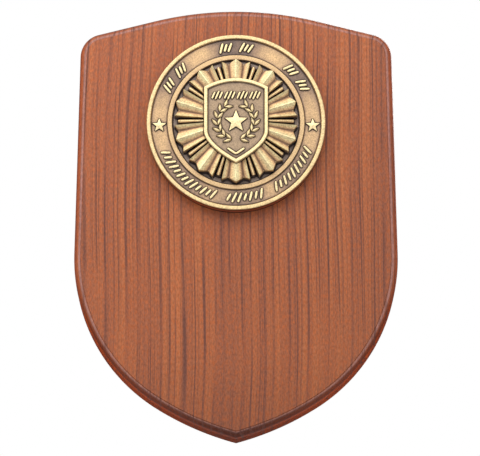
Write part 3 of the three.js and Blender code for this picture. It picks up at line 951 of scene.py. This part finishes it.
def brass_material():
    """Cast brass. It is rubbed bright on the rims and the relief, brown on the sunken band and the small
    shield's field, and dark with patina in the recesses. Its outer wall has painted shade towards the wood
    and a painted reflection of the wood."""
    material, make, shader = new_material("antique_brass")
    texture = make.nodes.new("ShaderNodeTexCoord")
    place = texture.outputs["Object"]
    height, radius, turn = spot_on_medal(make, place)
    blotches = make.noise(place, (330, 330, 330), 3)
    grain = make.noise(place, (1900, 1900, 1900), 3)
    near = make.occlusion(0.8 * MM)
    wide = make.occlusion(3 * MM)
    unevenness = make.math("MULTIPLY_ADD", blotches, 0.24, -0.12)
    # A quarter of the fold, so that a ramp from 0 to 1 reaches down into the grooves
    fold = make.product(burst_fold(make, height, radius), 0.25)
    rays = make.ramp(fold, [(0.275, 0), (0.28, 1), (0.33, 1), (0.36, 0)])
    openness = make.math("MAXIMUM", make.math("ADD", wide, unevenness), rays)
    walls = make.ramp(wide, [(0.6, 0.8), (0.97, 0)])

    # Where the parts of the medal lie
    beyond_field = make.math("GREATER_THAN", radius, FIELD_RADIUS)
    on_shield = make.math("GREATER_THAN", height, SHIELD_FLOOR - 0.2 * MM)
    on_ring = make.product(make.math("LESS_THAN", radius, BAND_INNER), beyond_field)
    within_rim = make.math("LESS_THAN", radius, BAND_OUTER - 0.1 * MM)
    beyond_ring = make.math("GREATER_THAN", radius, BAND_INNER + 0.1 * MM)
    on_band = make.product(within_rim, beyond_ring)
    on_outer_wall = make.math("GREATER_THAN", radius, MEDAL_RADIUS - 0.05 * MM)
    low_band = make.fade_out(height, BAND_HEIGHT + 0.1 * MM, BAND_HEIGHT + 0.5 * MM)
    low_field = make.fade_out(height, SHIELD_FLOOR + 0.05 * MM, SHIELD_FLOOR + 0.4 * MM)

    colour = burst_colour(make, fold, blotches, openness)
    rubbed = make.ramp(openness, [
        (0.55, srgb(156, 133, 112)),
        (0.85, srgb(202, 173, 134)),
        (1.0, srgb(228, 202, 152)),
    ])
    colour = make.mix(make.math("ADD", beyond_field, on_shield), colour, rubbed)
    colour = make.mix(make.product(on_ring, 0.7), colour, srgb(200, 167, 127))
    raised = make.mix(on_band, on_shield, grey(1))
    colour = make.mix(make.product(raised, 0.75), colour, srgb(246, 226, 176))
    band = band_colour(make, turn, unevenness, walls)
    colour = make.mix(make.product(beyond_field, low_band), colour, band)
    # The outer wall: painted shade towards the wood and a painted reflection of the wood where it faces down
    colour = make.mix(on_outer_wall, colour, outer_wall_colour(make, height, texture.outputs["Normal"]))
    field = make.ramp(make.math("ADD", walls, make.product(unevenness, 2.5)), [
        (0.0, srgb(168, 145, 119)),
        (0.4, srgb(136, 118, 102)),
        (0.9, srgb(94, 82, 79)),
    ])
    colour = make.mix(make.product(on_shield, low_field), colour, field)

    crevices = make.ramp(near, [
        (0.5, srgb(66, 58, 68)),
        (0.76, srgb(150, 140, 144)),
        (0.92, 1),
    ])
    colour = make.tinted(colour, crevices)
    colour = make.tinted(colour, make.ramp(grain, [(0.37, 0.74), (0.63, 1.2)]))
    edges = make.ramp(make.occlusion(0.5 * MM, inside=True), [(0.5, 0.8), (0.85, 0)])
    colour = make.mix(edges, colour, srgb(240, 220, 172))

    rough = make.ramp(openness, [(0.4, 0.62), (0.9, 0.47)])
    rough = make.tinted(rough, make.ramp(grain, [(0.3, 0.85), (0.7, 1.15)]))
    make.feed(shader.inputs["Base Color"], colour)
    make.feed(shader.inputs["Metallic"], make.ramp(openness, [(0.35, 0.3), (0.85, 1)]))
    make.feed(shader.inputs["Roughness"], rough)
    make.feed(shader.inputs["Normal"], make.bump(grain, 0.15))
    return material


# Stage, light and camera


def plain_floor():
    material, _, shader = new_material("pale_floor")
    shader.inputs["Base Color"].default_value = grey(0.8)
    shader.inputs["Roughness"].default_value = 0.9
    reach = 2.0
    level = -1.2
    corners = [(-reach, -reach, level), (reach, -reach, level), (reach, reach, level), (-reach, reach, level)]
    mesh = bpy.data.meshes.new("floor")
    mesh.from_pydata(corners, [], [(0, 1, 2, 3)])
    mesh.materials.append(material)
    floor = bpy.data.objects.new("floor", mesh)
    bpy.context.collection.objects.link(floor)


def area_light(name, place, size, power):
    """A soft rectangular light that faces the plaque."""
    lamp = bpy.data.lights.new(name, "AREA")
    lamp.shape = "RECTANGLE"
    lamp.size, lamp.size_y = size
    lamp.energy = power
    light = bpy.data.objects.new(name, lamp)
    light.location = place
    light.visible_camera = False
    towards = Vector((0, 0, -0.05)) - Vector(place)
    light.rotation_euler = towards.to_track_quat("-Z", "Y").to_euler()
    bpy.context.collection.objects.link(light)


def warm(level):
    """A grey level for the room's light, the warmer the dimmer it is."""
    shade = max(0, 1 - level)
    return (level, level * (1 - 0.14 * shade), level * (1 - 0.16 * shade), 1)


def studio_world():
    """White behind the object. For light and reflections, a room that is bright in front and above,
    and dimmer and warmer at the sides, behind and below."""
    world = bpy.data.worlds.new("studio")
    make = Shading(world)
    make.nodes.clear()
    _, depth, height = make.parts(make.nodes.new("ShaderNodeTexCoord").outputs["Generated"])

    def brightness(component, stops):
        """By one component of the direction, from -1 to 1."""
        half = make.math("MULTIPLY_ADD", component, 0.5, 0.5)
        return make.ramp(half, [((place + 1) / 2, warm(level)) for place, level in stops])

    def background(colour):
        node = make.nodes.new("ShaderNodeBackground")
        make.feed(node.inputs["Color"], colour)
        return node.outputs["Background"]

    by_depth = brightness(depth, [
        (-1, 1.06),
        (-0.8, 1.02),
        (-0.5, 0.86),
        (-0.2, 0.72),
        (0.2, 0.28),
        (1, 0.04),
    ])
    by_height = brightness(height, [(-1, 0.35), (-0.4, 0.6), (0, 0.95), (0.5, 1.15), (1, 1.2)])
    switch = make.nodes.new("ShaderNodeMixShader")
    make.feed(switch.inputs["Fac"], make.nodes.new("ShaderNodeLightPath").outputs["Is Camera Ray"])
    make.feed(switch.inputs[1], background(make.tinted(by_depth, by_height)))
    make.feed(switch.inputs[2], background(grey(1)))
    make.feed(make.nodes.new("ShaderNodeOutputWorld").inputs["Surface"], switch.outputs["Shader"])
    bpy.context.scene.world = world
    bpy.context.scene.view_settings.view_transform = "Standard"


def photo_camera():
    """The board's middle lands on its pixel of the photograph, seen from a little below."""
    camera = bpy.data.cameras.new("camera")
    camera.sensor_width = SENSOR_WIDTH
    camera.lens = SENSOR_WIDTH * PIXELS_PER_METRE * CAMERA_DISTANCE / IMAGE_WIDTH
    camera.clip_end = 50
    forward = Vector((0, math.cos(CAMERA_PITCH), math.sin(CAMERA_PITCH)))
    upward = Vector((0, -math.sin(CAMERA_PITCH), math.cos(CAMERA_PITCH)))
    middle = Vector((0, board_low.y, (board_low.z + board_high.z) / 2))
    right_shift = (IMAGE_WIDTH / 2 - BOARD_MIDDLE_PIXEL[0]) / PIXELS_PER_METRE
    down_shift = (IMAGE_HEIGHT / 2 - BOARD_MIDDLE_PIXEL[1]) / PIXELS_PER_METRE
    aim = middle + Vector((right_shift, 0, 0)) - upward * down_shift
    eye = bpy.data.objects.new("camera", camera)
    eye.location = aim - forward * CAMERA_DISTANCE
    eye.rotation_euler = (math.pi / 2 + CAMERA_PITCH, 0, 0)
    bpy.context.collection.objects.link(eye)
    bpy.context.scene.camera = eye


photo_camera()
studio_world()
plain_floor()
area_light("key", (-0.2, -0.7, 0.4), (0.9, 0.5), 2.6)
area_light("rear", (0.5, 1.4, 0.7), (0.8, 0.8), 10)

board = make_board()
board.data.materials.clear()
board.data.materials.append(wood_material())
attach(board, "root")
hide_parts("shield_board")

medal = make_medal()
medal.data.materials.clear()
medal.data.materials.append(brass_material())
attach(medal, "root")
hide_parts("medal")
